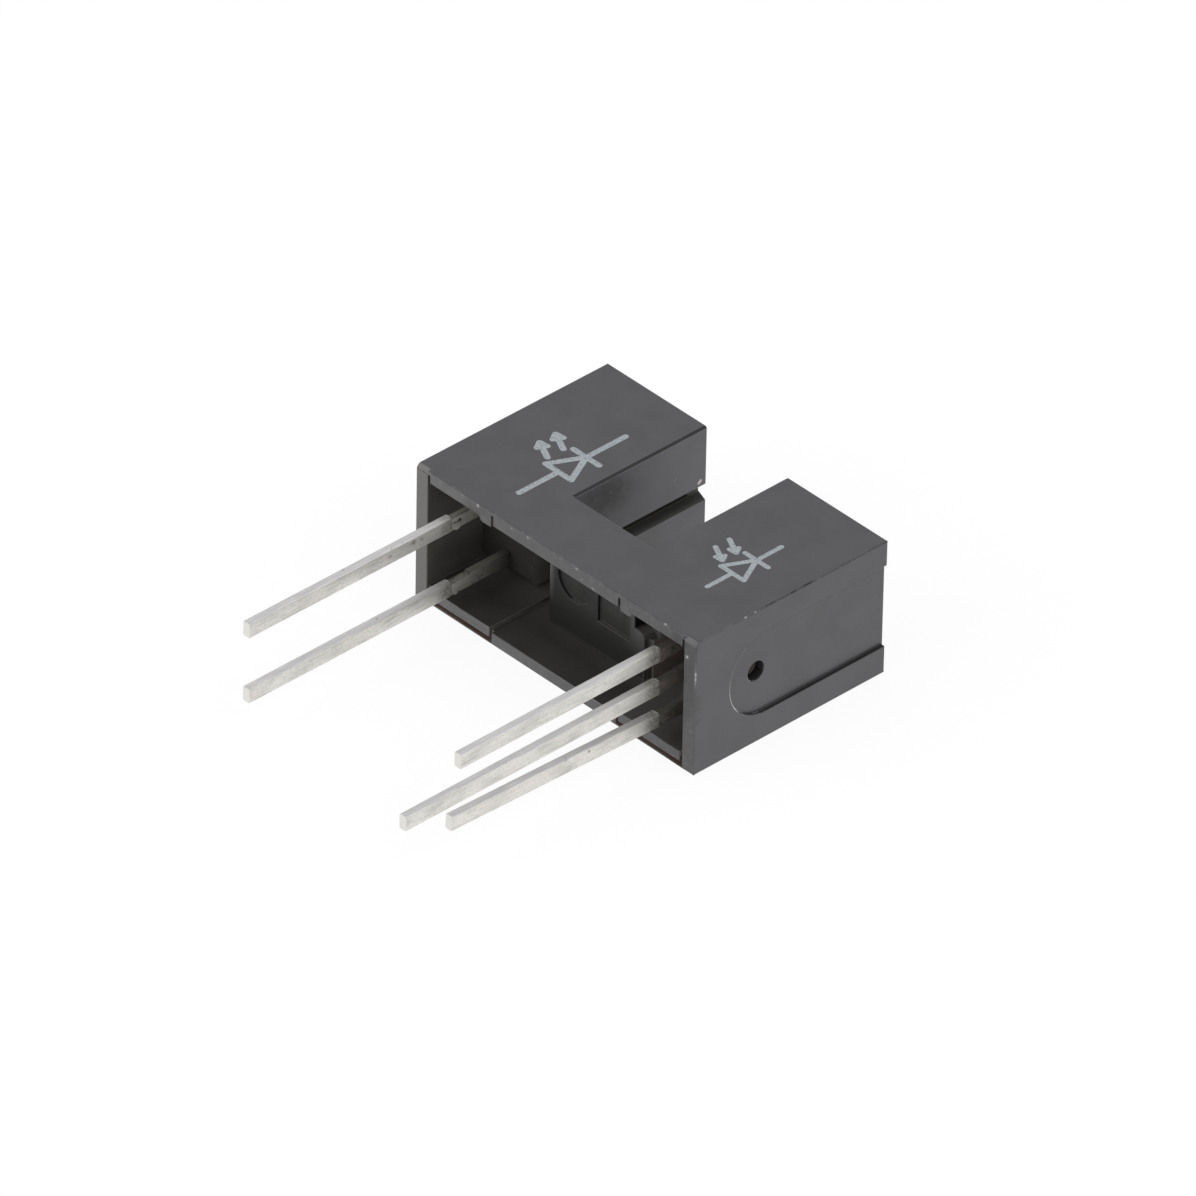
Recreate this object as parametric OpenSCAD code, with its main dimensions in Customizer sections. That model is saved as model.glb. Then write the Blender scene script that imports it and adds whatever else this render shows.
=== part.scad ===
// Slotted optical switch: a hollow U-shaped housing with an emitter package in one arm and a
// detector package in the other, facing each other across the sensing slot.
// The part lies on a broad face. X runs across the slot, Y from the leads to the arm tips, Z up.
// The origin is the centre of the lead pattern on the seating plane.

/* [Housing] */
// Overall width across both arms
housing_w = 13; // [12.4:0.1:15]
// Depth from the seating plane to the arm tips
housing_d = 8.3; // [7.8:0.1:10]
// Thickness between the broad faces
housing_t = 5.15; // [4.9:0.05:6.5]
// Width of the sensing slot
slot_w = 3.7; // [3.2:0.1:4.3]
// Distance from the seating plane to the floor of the slot
slot_floor = 2.55; // [2.2:0.05:3]
// Radius of the moulded outer edges
edge_r = 0.06; // [0.03:0.01:0.12]
// Bevel of the slot's edges on the broad faces
slot_bevel = 0.07; // [0.05:0.01:0.16]
// Chamfer on the upper front edge of each end wall
seat_chamfer = 0.16; // [0.12:0.01:0.25]

/* [Walls] */
// Thickness of the end wall behind each package
end_wall = 0.55; // [0.45:0.05:0.8]
// Thickness of the broad walls
broad_wall = 0.45; // [0.35:0.05:0.6]
// Thickness of the wall between each package and the slot
slot_wall = 0.55; // [0.45:0.05:0.65]
// Thickness of the bridge behind the slot
bridge_wall = 0.5; // [0.4:0.05:0.7]
// Thickness of the wall at the arm tips
tip_wall = 0.5; // [0.4:0.05:0.8]

/* [Slit] */
// Width of the flared groove at the slot wall's face
groove_w = 0.62; // [0.45:0.01:0.9]
// Width of the groove's floor and of the slit in it
slit_w = 0.26; // [0.15:0.01:0.4]
// Depth of the groove
groove_depth = 0.34; // [0.2:0.01:0.4]
// Distance from the slot's floor to the start of the slit
slit_start = 0.6; // [0.3:0.05:1.5]

/* [End faces] */
// Radius of the rounded end of the shallow recess
recess_r = 1.58; // [1.2:0.01:1.9]
// Distance from the seating plane to the centre of that rounded end
recess_y = 3.1; // [2.8:0.05:3.6]
// Height of the recess above the middle of the housing
recess_z = 0.04; // [0:0.01:0.2]
// Depth of the recess
recess_depth = 0.13; // [0.08:0.01:0.2]
// Diameter of the latch hole
latch_d = 0.7; // [0.5:0.05:1]
// Distance from the seating plane to the latch hole
latch_y = 2.75; // [2.75:0.05:3.5]
// Height of the latch hole above the middle of the housing
latch_z = 0.12; // [0:0.01:0.2]

/* [Mouth of the cavity] */
// Distance from each end face to the inner side of the arm's opening
arm_step = 3.5; // [3.3:0.05:3.8]
// Extra thickness of the upper wall between the arm openings
lintel_h = 0.08; // [0.04:0.01:0.15]
// Width of the notches at both ends of the rims over and under each package
notch_w = 0.1; // [0.06:0.01:0.15]
// Depth of these notches
notch_depth = 0.12; // [0.06:0.01:0.2]
// Distance from these notches to the upper broad face
notch_top = 0.16; // [0.12:0.01:0.25]
// Distance from the groove under each package to the lower broad face
sill_lip = 0.05; // [0.04:0.01:0.08]
// Height of that groove
sill_groove_h = 0.17; // [0.1:0.01:0.2]
// Depth of that groove
sill_groove_depth = 0.25; // [0.1:0.01:0.4]
// Height of the pad under each package
pad_h = 0.15; // [0.08:0.01:0.25]
// Height of the guide rib above each package
rib_h = 0.18; // [0.1:0.01:0.3]

/* [Bridge plate] */
// How far the plate stands out of the bridge
plate_proud = 0.2; // [0.16:0.01:0.3]
// Distance from the plate's sides to the sides of the bridge
plate_margin = 0.2; // [0.1:0.05:0.4]
// Width of the relief in the plate's upper corner
relief_w = 0.44; // [0.3:0.02:0.6]
// Depth of the relief behind the face of the bridge
relief_depth = 0.3; // [0.1:0.05:0.35]
// Distance of the relief's shoulder below the middle of the housing
relief_drop = 0.3; // [0.1:0.05:0.8]
// Radius of the shoulder's corner
shoulder_r = 0.25; // [0.1:0.05:0.3]
// Diameter of the round ejector mark
eject_d = 1.58; // [1:0.02:1.8]
// Distance of the round mark from the middle of the slot
eject_x = 1.03; // [0.9:0.01:1.25]
// Width of the gate mark
gate_w = 1.5; // [0.8:0.05:1.7]
// Height of the gate mark
gate_h = 1.9; // [1:0.05:2.6]
// Distance of the gate mark from the middle of the slot
gate_x = 0.79; // [0.6:0.01:0.9]
// Depth of both marks
mark_depth = 0.12; // [0.06:0.01:0.18]

/* [Packages] */
// Thickness of the moulded bodies
mold_t = 2.3; // [2:0.05:2.4]
// Distance from the seating plane to the moulded bodies
mold_start = 2.4; // [2:0.05:2.45]
// Distance from the moulded bodies to the tip walls
mold_gap = 0.3; // [0.1:0.05:0.6]
// Clearance of the moulded bodies in the housing
fit = 0.05; // [0.03:0.01:0.1]
// Corner radius of the moulded bodies
mold_r = 0.3; // [0.1:0.05:0.5]
// Radius of the lens's rim
lens_r = 1.1; // [0.8:0.05:1.3]
// Height of the lens
lens_h = 0.7; // [0.4:0.05:0.75]
// Distance from the optical axis to the arm tips
axis_depth = 2.6; // [2.4:0.05:2.9]
// Length of the boss in the latch hole
boss_h = 0.1; // [0.05:0.05:0.3]

/* [Leads] */
// Distance between the two emitter leads, and between the outer detector leads
lead_pitch = 2.54; // [2.3:0.01:2.6]
// Width of the bare strip
lead_w = 0.5; // [0.4:0.01:0.55]
// Thickness of the bare strip
lead_t = 0.25; // [0.15:0.01:0.3]
// Thickness of the solder coat on the outer part
tin_coat = 0.025; // [0.01:0.005:0.05]
// Distance from the seating plane to the end of the solder coat on the emitter leads
emitter_tin_gap = 0.2; // [0.05:0.05:0.5]
// Distance from the seating plane to the end of the solder coat on the detector leads
detector_tin_gap = 0.05; // [0.05:0.05:0.5]
// Free length of the emitter leads
emitter_len = 8.8; // [4:0.1:14]
// Free length of the supply lead
supply_len = 8.5; // [4:0.1:14]
// Free length of the output lead
output_len = 8.85; // [4:0.05:14]
// Free length of the ground lead
ground_len = 10.8; // [4:0.1:16]
// Upward bend of the output lead, in degrees
output_bend_angle = 2; // [0:0.1:3]
// Depth of the trimmed tie-bar notch in the upper edge of each lead
trim_notch = 0.06; // [0.03:0.01:0.1]
// Length of the trimmed stretch
trim_len = 0.85; // [0.6:0.05:1.1]
// Length of the tie-bar stub on the lower edge of each lead
stub_len = 0.2; // [0.1:0.05:0.4]

/* [Chips and wires] */
// Side of the emitter chip
emitter_chip_s = 0.35; // [0.2:0.01:0.45]
// Side of the detector chip
detector_chip_s = 1.1; // [0.9:0.05:1.2]
// Thickness of both chips
chip_t = 0.2; // [0.1:0.01:0.25]
// Edge of the die pads around the chips
pad_edge = 0.15; // [0.1:0.01:0.2]
// Distance from a bond to the chip's edge
bond_inset = 0.12; // [0.08:0.01:0.16]
// Diameter of the bond wires
wire_d = 0.04; // [0.03:0.005:0.06]

/* [Hidden] */
// How far a cutting shape runs past the face that it opens
over = 0.5;
// Facets of a full circle
$fn = 48;

// Places along X, from an end face inwards
mold_back = end_wall + fit;
mold_front = mold_back + mold_t;
lead_x = mold_back + mold_t / 2;
pad_front = lead_x + lead_t / 2;
chip_top = pad_front + chip_t;
arm_inner = (housing_w - slot_w) / 2 - slot_wall;

// Places along Y, from the seating plane
bridge_face = slot_floor - bridge_wall;
cavity_end = housing_d - tip_wall;
mold_end = cavity_end - mold_gap;
axis_y = housing_d - axis_depth;

// Half sizes across the thickness
half_t = housing_t / 2;
cavity_half = half_t - broad_wall;
mold_half = cavity_half - pad_h - fit;
lead_z = lead_pitch / 2;

// Half widths of the bridge between the arm cavities and of the plate on it
bridge_half = slot_w / 2 + slot_wall;
plate_half = bridge_half - plate_margin;

// Sizes of the solder-coated strip
tin_w = lead_w + 2 * tin_coat;
tin_t = lead_t + 2 * tin_coat;

// Rectangle with rounded corners, centred
module rounded_rect(w, h, r) {
    square([w - 2 * r, h], center = true);
    square([w, h - 2 * r], center = true);
    for (sx = [-1, 1], sy = [-1, 1])
        translate([sx * (w / 2 - r), sy * (h / 2 - r)])
            circle(r);
}

// Box from the seating plane to the arm tips with all its edges rounded
module rounded_block() {
    intersection() {
        linear_extrude(housing_t, center = true)
            translate([0, housing_d / 2])
                rounded_rect(housing_w, housing_d, edge_r);
        translate([0, housing_d / 2, 0])
            rotate([90, 0, 0])
                linear_extrude(housing_d + over, center = true)
                    rounded_rect(housing_w, housing_t, edge_r);
        translate([0, housing_d / 2, 0])
            rotate([90, 0, 90])
                linear_extrude(housing_w + over, center = true)
                    rounded_rect(housing_d, housing_t, edge_r);
    }
}

// Slot between the arms
module sensing_slot() {
    translate([-slot_w / 2, slot_floor, -half_t - over])
        cube([slot_w, housing_d - slot_floor + over, housing_t + 2 * over]);
}

// Widening of the slot that bevels its edges on the upper broad face, mitred at the slot's corners
module slot_bevels() {
    intersection() {
        translate([0, housing_d + over, half_t])
            rotate([90, 0, 0])
                linear_extrude(housing_d + over)
                    polygon([
                        [-slot_w / 2, -slot_bevel], [slot_w / 2, -slot_bevel],
                        [slot_w / 2 + 2 * slot_bevel, slot_bevel],
                        [-slot_w / 2 - 2 * slot_bevel, slot_bevel]
                    ]);
        translate([-slot_w, slot_floor, half_t])
            rotate([90, 0, 90])
                linear_extrude(2 * slot_w)
                    polygon([
                        [0, -slot_bevel], [housing_d, -slot_bevel],
                        [housing_d, slot_bevel], [-2 * slot_bevel, slot_bevel]
                    ]);
    }
}

// Everything below is placed in one arm: X runs from the end face inwards.
module in_left_arm() {
    translate([-housing_w / 2, 0, 0])
        children();
}

module in_right_arm() {
    mirror([1, 0, 0])
        in_left_arm()
            children();
}

module in_both_arms() {
    in_left_arm()
        children();
    in_right_arm()
        children();
}

// Hollow of one arm, up to the middle of the housing in front of the bridge
module arm_cavity() {
    translate([end_wall, -over, -cavity_half])
        cube([arm_inner - end_wall, cavity_end + over, 2 * cavity_half]);
    translate([end_wall, -over, -cavity_half])
        cube([housing_w / 2 - end_wall + over, bridge_face + over, 2 * cavity_half]);
}

// Pad under the package, guide rib above it and the thicker wall towards the middle of the housing
module package_guides() {
    translate([end_wall - fit, 0, -cavity_half - fit])
        cube([arm_step - end_wall + fit, cavity_end, pad_h + fit]);
    rib_start = mold_front + fit;
    translate([rib_start + rib_h, 0, cavity_half - rib_h])
        cube([arm_step - rib_start - rib_h, cavity_end, rib_h + fit]);
    // Rounded flank of the rib
    intersection() {
        translate([rib_start + rib_h, 0, cavity_half])
            rotate([-90, 0, 0])
                cylinder(r = rib_h, h = cavity_end);
        translate([rib_start, 0, cavity_half - rib_h])
            cube([rib_h + fit, cavity_end, rib_h]);
    }
    translate([arm_step - fit, 0, cavity_half - lintel_h])
        cube([housing_w / 2 - arm_step + 2 * fit, bridge_face + fit, lintel_h + fit]);
}

// Notches at both ends of the rims over and under the package, and the groove below the lower rim
module rim_notches() {
    sill_z = sill_lip + sill_groove_h - half_t;
    for (x = [end_wall, arm_step])
        translate([x, -over, sill_z - fit])
            cube([notch_w, over + notch_depth, half_t - notch_top - sill_z + fit]);
    translate([end_wall, -over, sill_lip - half_t])
        cube([arm_step + notch_w - end_wall, over + sill_groove_depth, sill_groove_h]);
}

// Chamfer on the upper front edge of the end wall
module seat_chamfer_cut() {
    translate([end_wall, 0, half_t])
        rotate([90, 0, -90])
            linear_extrude(end_wall + over)
                polygon([
                    [-seat_chamfer, 0], [0, -seat_chamfer],
                    [over, -seat_chamfer], [over, over], [-seat_chamfer, over]
                ]);
}

// Shallow recess with a rounded end, open at the arm tip, and the latch hole in it
module end_face_cuts() {
    translate([-over, recess_y, recess_z])
        rotate([0, 90, 0])
            cylinder(r = recess_r, h = over + recess_depth);
    translate([-over, recess_y, recess_z - recess_r])
        cube([over + recess_depth, housing_d - recess_y + over, 2 * recess_r]);
    translate([-over, latch_y, latch_z])
        rotate([0, 90, 0])
            cylinder(d = latch_d, h = end_wall + 2 * over);
}

// Flared groove along the slot wall and the slit through its floor
module slit_groove() {
    face = arm_inner + slot_wall;
    translate([face, housing_d + over, 0])
        rotate([90, 0, 0])
            linear_extrude(housing_d + over - slot_floor)
                polygon([
                    [over, groove_w / 2], [0, groove_w / 2], [-groove_depth, slit_w / 2],
                    [-groove_depth, -slit_w / 2], [0, -groove_w / 2], [over, -groove_w / 2]
                ]);
    translate([arm_inner - over, slot_floor + slit_start, -slit_w / 2])
        cube([slot_wall + over, cavity_end - slot_floor - slit_start, slit_w]);
}

// Raised plate on the bridge, with two shallow moulding marks
module bridge_plate() {
    plate_depth = plate_proud + fit;
    translate([0, bridge_face + fit, 0])
        rotate([90, 0, 0])
            difference() {
                translate([-plate_half, -cavity_half - fit, 0])
                    cube([2 * plate_half, 2 * (cavity_half + fit), plate_depth]);
                translate([-eject_x, 0, plate_depth - mark_depth])
                    cylinder(d = eject_d, h = mark_depth + over);
                translate([gate_x - gate_w / 2, -gate_h / 2, plate_depth - mark_depth])
                    cube([gate_w, gate_h, mark_depth + over]);
            }
}

// Relief at the upper corner of the plate, open to the detector's arm, over a rounded shoulder
module bridge_relief() {
    depth = relief_depth + plate_proud + over;
    side = bridge_half + fit - plate_half;
    translate([plate_half, bridge_face + relief_depth, -relief_drop])
        rotate([90, 0, 0]) {
            translate([-relief_w, 0, 0])
                cube([relief_w + side, cavity_half - lintel_h + relief_drop, depth]);
            difference() {
                translate([-shoulder_r, -shoulder_r, 0])
                    cube([shoulder_r + side, shoulder_r + fit, depth]);
                translate([-shoulder_r, -shoulder_r, -over])
                    cylinder(r = shoulder_r, h = depth + 2 * over);
            }
        }
}

module housing() {
    color("#2e2d2f")
        difference() {
            union() {
                difference() {
                    rounded_block();
                    sensing_slot();
                    slot_bevels();
                    mirror([0, 0, 1])
                        slot_bevels();
                    in_both_arms()
                        arm_cavity();
                }
                in_both_arms()
                    package_guides();
                bridge_plate();
            }
            bridge_relief();
            in_both_arms() {
                rim_notches();
                seat_chamfer_cut();
                end_face_cuts();
                slit_groove();
            }
        }
}

// Flat strip in the lead plane between two places along Y
module strip(y_from, y_to, z, w, t) {
    translate([lead_x - t / 2, y_from, z - w / 2])
        cube([t, y_to - y_from, w]);
}

// Lead from its tinned tip to its end inside the package
module lead(z, free_len, inner_end, tin_gap, bend) {
    neck_end = trim_len - tin_gap;
    strip(neck_end, inner_end, z, lead_w, lead_t);
    // Trimmed tie bar: a notch in the upper edge and a stub on the lower one
    strip(-tin_gap, neck_end, z - trim_notch / 2, lead_w - trim_notch, lead_t);
    strip(0, stub_len, z - trim_notch, lead_w, lead_t);
    translate([lead_x, -tin_gap, z])
        rotate([-bend, 0, 0])
            translate([-tin_t / 2, tin_gap - free_len, -tin_w / 2])
                cube([tin_t, free_len - tin_gap + tin_coat, tin_w]);
}

module chip(side) {
    translate([pad_front, axis_y - side / 2, -side / 2])
        cube([chip_t, side, side]);
}

// Bond wire: an arch over two places in the lead plane, with a leg down to the lead at the second
module bond_wire(start, end) {
    middle = (start + end) / 2;
    turn = atan2(end[1] - start[1], end[0] - start[0]);
    translate([chip_top, middle[0], middle[1]])
        rotate([turn, 0, 0])
            rotate([0, 0, -90])
                rotate_extrude(angle = 180)
                    translate([norm(end - start) / 2, 0])
                        circle(d = wire_d);
    translate([pad_front, end[0], end[1]])
        rotate([0, 90, 0])
            cylinder(d = wire_d, h = chip_t);
}

// Moulded body with its lens and latch boss, before the lead ends are taken out
module mold_blank() {
    body_len = mold_end - mold_start;
    translate([mold_back, mold_start + body_len / 2, 0])
        rotate([90, 0, 90])
            linear_extrude(mold_t)
                rounded_rect(body_len, 2 * mold_half, mold_r);
    // The lens is the cap of a ball sunk in the body
    ball_r = (lens_r * lens_r + lens_h * lens_h) / (2 * lens_h);
    translate([mold_front + lens_h - ball_r, axis_y, 0])
        sphere(ball_r);
    translate([mold_back - fit - boss_h, latch_y, latch_z])
        rotate([0, 90, 0])
            cylinder(d = latch_d - 2 * fit, h = boss_h + 2 * fit);
}

// Emitter: the cathode lead carries the chip, the anode lead takes the wire
module emitter_anode_shape() {
    lead(lead_z, emitter_len, axis_y + emitter_chip_s, emitter_tin_gap, 0);
}

module emitter_cathode_shape() {
    pad = emitter_chip_s + 2 * pad_edge;
    lead(-lead_z, emitter_len, axis_y + pad / 2, emitter_tin_gap, 0);
    translate([lead_x - lead_t / 2, axis_y - pad / 2, -lead_z])
        cube([lead_t, pad, lead_z + pad / 2]);
}

module emitter_wire_shape() {
    bond_wire([axis_y, 0], [axis_y, lead_z]);
}

module emitter_chip() {
    color("#8a8f9c")
        in_left_arm()
            chip(emitter_chip_s);
}

module emitter_wire() {
    color("#d9b24a")
        in_left_arm()
            emitter_wire_shape();
}

module emitter_anode_lead() {
    color("#c9c8c5")
        in_left_arm()
            emitter_anode_shape();
}

module emitter_cathode_lead() {
    color("#c9c8c5")
        in_left_arm()
            emitter_cathode_shape();
}

module emitter_mold() {
    color("#5d6478")
        in_left_arm()
            difference() {
                mold_blank();
                emitter_anode_shape();
                emitter_cathode_shape();
                chip(emitter_chip_s);
                emitter_wire_shape();
            }
}

// Detector: the middle ground lead carries the chip, the outer leads take the supply and output wires
detector_pad = detector_chip_s + 2 * pad_edge;
// Length of the ground lead's tab below the chip, for its own bond
ground_tab = 3 * pad_edge;
bond_edge = detector_chip_s / 2 - bond_inset;

module detector_supply_shape() {
    lead(lead_z, supply_len, axis_y + lead_w, detector_tin_gap, 0);
}

module detector_output_shape() {
    lead(-lead_z, output_len, axis_y + lead_w, detector_tin_gap, output_bend_angle);
}

module detector_ground_shape() {
    lead(0, ground_len, axis_y + detector_pad / 2, detector_tin_gap, 0);
    translate([lead_x - lead_t / 2, axis_y - detector_pad / 2 - ground_tab, -detector_pad / 2])
        cube([lead_t, detector_pad + ground_tab, detector_pad]);
}

module side_wire_shape(side) {
    bond_wire([axis_y, side * bond_edge], [axis_y, side * lead_z]);
}

module ground_wire_shape() {
    bond_wire([axis_y - bond_edge, 0], [axis_y - detector_pad / 2 - ground_tab / 2, 0]);
}

module detector_chip() {
    color("#6f7f8c")
        in_right_arm()
            chip(detector_chip_s);
}

module supply_wire() {
    color("#d9b24a")
        in_right_arm()
            side_wire_shape(1);
}

module output_wire() {
    color("#d9b24a")
        in_right_arm()
            side_wire_shape(-1);
}

module ground_wire() {
    color("#d9b24a")
        in_right_arm()
            ground_wire_shape();
}

module detector_supply_lead() {
    color("#c9c8c5")
        in_right_arm()
            detector_supply_shape();
}

module detector_output_lead() {
    color("#c9c8c5")
        in_right_arm()
            detector_output_shape();
}

module detector_ground_lead() {
    color("#c9c8c5")
        in_right_arm()
            detector_ground_shape();
}

module detector_mold() {
    color("#1d1a20")
        in_right_arm()
            difference() {
                mold_blank();
                detector_supply_shape();
                detector_output_shape();
                detector_ground_shape();
                chip(detector_chip_s);
                side_wire_shape(1);
                side_wire_shape(-1);
                ground_wire_shape();
            }
}

housing();
emitter_mold();
emitter_anode_lead();
emitter_cathode_lead();
emitter_chip();
emitter_wire();
detector_mold();
detector_supply_lead();
detector_output_lead();
detector_ground_lead();
detector_chip();
supply_wire();
output_wire();
ground_wire();
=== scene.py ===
"""Looks of the slotted optical switch: softened edges, finishes, tinned legs and printed marks."""

import logging
import math
from dataclasses import dataclass
from enum import Enum
from typing import ClassVar

import bmesh
import bpy
from mathutils import Matrix, Vector


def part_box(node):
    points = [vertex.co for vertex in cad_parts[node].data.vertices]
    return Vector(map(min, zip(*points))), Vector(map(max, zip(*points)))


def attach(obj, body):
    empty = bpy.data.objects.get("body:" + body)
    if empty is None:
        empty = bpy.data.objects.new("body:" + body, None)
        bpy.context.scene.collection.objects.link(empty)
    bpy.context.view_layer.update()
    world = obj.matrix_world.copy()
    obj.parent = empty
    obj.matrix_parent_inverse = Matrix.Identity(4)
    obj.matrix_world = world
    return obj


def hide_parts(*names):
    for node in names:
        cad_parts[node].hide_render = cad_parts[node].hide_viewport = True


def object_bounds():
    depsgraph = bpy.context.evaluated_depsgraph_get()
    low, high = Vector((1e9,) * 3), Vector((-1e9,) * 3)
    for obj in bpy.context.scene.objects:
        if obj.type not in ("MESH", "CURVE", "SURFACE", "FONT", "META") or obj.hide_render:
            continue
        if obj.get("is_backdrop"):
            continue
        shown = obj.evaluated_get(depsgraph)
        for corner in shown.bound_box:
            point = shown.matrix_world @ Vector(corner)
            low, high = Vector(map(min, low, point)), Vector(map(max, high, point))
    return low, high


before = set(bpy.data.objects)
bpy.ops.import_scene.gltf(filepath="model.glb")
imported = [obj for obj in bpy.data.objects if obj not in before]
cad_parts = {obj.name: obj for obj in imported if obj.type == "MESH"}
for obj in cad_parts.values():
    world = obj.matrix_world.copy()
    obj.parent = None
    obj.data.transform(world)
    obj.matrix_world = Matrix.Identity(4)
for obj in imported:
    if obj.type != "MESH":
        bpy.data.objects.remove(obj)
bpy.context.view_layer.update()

LOG = logging.getLogger("slotted_switch")
MM = 0.001
BODY = "root"
WELD_MM = 0.0005
FLAT_DEG = 0.5

Colour = tuple[float, float, float]
Point = tuple[float, float, float]
Span = tuple[float, float]
Socket = bpy.types.NodeSocket
Material = bpy.types.Material
Piece = bpy.types.Object
Solid = bmesh.types.BMesh

# Whole range of a share, and the range that most of a noise pattern lies in
FULL: Span = (0.0, 1.0)
MIDDLE: Span = (0.3, 0.7)

# Part of a face's normal along an axis, from leaning towards it to lying flush with it
LEANS = 0.3
FACES = 0.5
SQUARE = 0.9
FLUSH = 0.95


class Slot(Enum):
    """The record's material slots."""

    HOUSING = "housing_plastic"
    LEAD = "tinned_lead"


class Arm(Enum):
    """The two arms, by the sign of their side on X."""

    EMITTER = -1
    DETECTOR = 1


class Zone(Enum):
    """Parts of the housing's surface, by material index. Most parts take a lighter or darker copy of the same
    black plastic: painted light and shade.
    """

    SHELL = 0
    RIM = 1
    FLOOR = 2
    WALL = 3
    PLATE = 4
    SHADE = 5
    WORN = 6
    GROOVE = 7
    SLOT = 8
    GLINT = 9
    CORNER = 10


@dataclass(frozen=True)
class Ramp:
    """A tone that sets in along an axis, from none at the first of two places to full at the second."""

    axis: str
    span_mm: Span
    tone: Colour


@dataclass(frozen=True)
class Spot:
    """A soft-edged spot of another tone around a place, whole or broken up into patches of a given size; it
    serves for marks and for painted light and shade.
    """

    core: ClassVar[float] = 0.35
    patches: ClassVar[Span] = (0.38, 0.58)
    thin: ClassVar[Span] = (0.25, 1.0)

    place_mm: Point
    radius_mm: float
    tone: Colour
    patch_mm: float = 0.0


class Graph:
    """A node tree under construction."""

    def __init__(self, tree: bpy.types.NodeTree) -> None:
        """Keeps the tree and empties it."""
        self.tree = tree
        tree.nodes.clear()

    def node(self, kind: str, values: dict[str, object] | None = None, **settings: object) -> bpy.types.Node:
        """Adds a node.

        Args:
            kind: Blender's name of the node type.
            values: default values of its inputs, by socket name.
            settings: properties of the node.

        Returns:
            The new node.
        """
        made = self.tree.nodes.new(kind)
        for name, value in settings.items():
            setattr(made, name, value)
        for name, value in (values or {}).items():
            made.inputs[name].default_value = value
        return made

    def wire(self, source: Socket, target: Socket) -> None:
        """Links two sockets."""
        self.tree.links.new(source, target)

    def chain(self, *nodes: bpy.types.Node) -> None:
        """Links the first output of each node to the first input of the next."""
        for node, after in zip(nodes, nodes[1:]):
            self.wire(node.outputs[0], after.inputs[0])


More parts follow.
